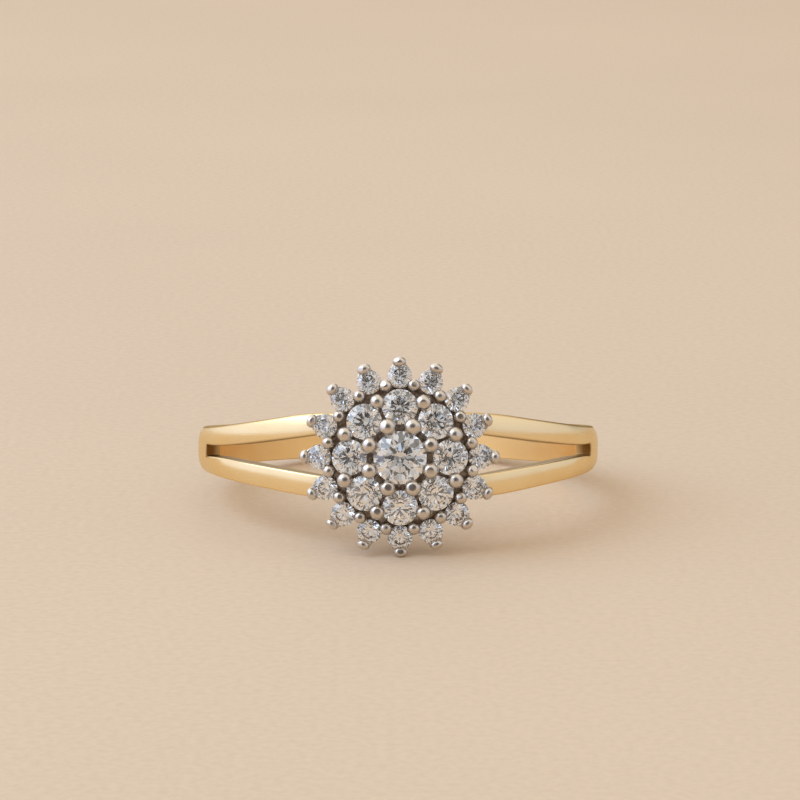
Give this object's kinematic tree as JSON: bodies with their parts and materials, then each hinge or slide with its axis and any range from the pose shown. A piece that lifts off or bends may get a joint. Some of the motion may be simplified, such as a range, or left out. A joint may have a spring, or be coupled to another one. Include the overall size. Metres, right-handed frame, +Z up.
{
  "type": "cubic zirconia ring",
  "caption": "Gold ring with split shoulders and a white metal starburst head of round brilliants in claw and bead prongs, lying on its side.",
  "frame": {"origin": "on the table, under the middle of the ring", "axes": "+Z up, +Y from the head to the back of the band, +X to the right as the head is seen from the front"},
  "size_m": [0.0196, 0.0222, 0.0091],
  "materials": {
    "yellow_gold": "satin-polished pale yellow gold",
    "white_metal": "polished white gold",
    "zirconia": "faceted and clear"
  },
  "bodies": {
    "root": {"shank": "yellow_gold", "setting": "white_metal", "centre_stone": "zirconia", "medium_stone_1": "zirconia", "medium_stone_2": "zirconia", "medium_stone_3": "zirconia", "medium_stone_4": "zirconia", "medium_stone_5": "zirconia", "medium_stone_6": "zirconia", "medium_stone_7": "zirconia", "medium_stone_8": "zirconia", "small_stone_1": "zirconia", "small_stone_2": "zirconia", "small_stone_3": "zirconia", "small_stone_4": "zirconia", "small_stone_5": "zirconia", "small_stone_6": "zirconia", "small_stone_7": "zirconia", "small_stone_8": "zirconia", "small_stone_9": "zirconia", "small_stone_10": "zirconia", "small_stone_11": "zirconia", "small_stone_12": "zirconia", "small_stone_13": "zirconia", "small_stone_14": "zirconia", "small_stone_15": "zirconia", "small_stone_16": "zirconia"}
  },
  "joints": []
}
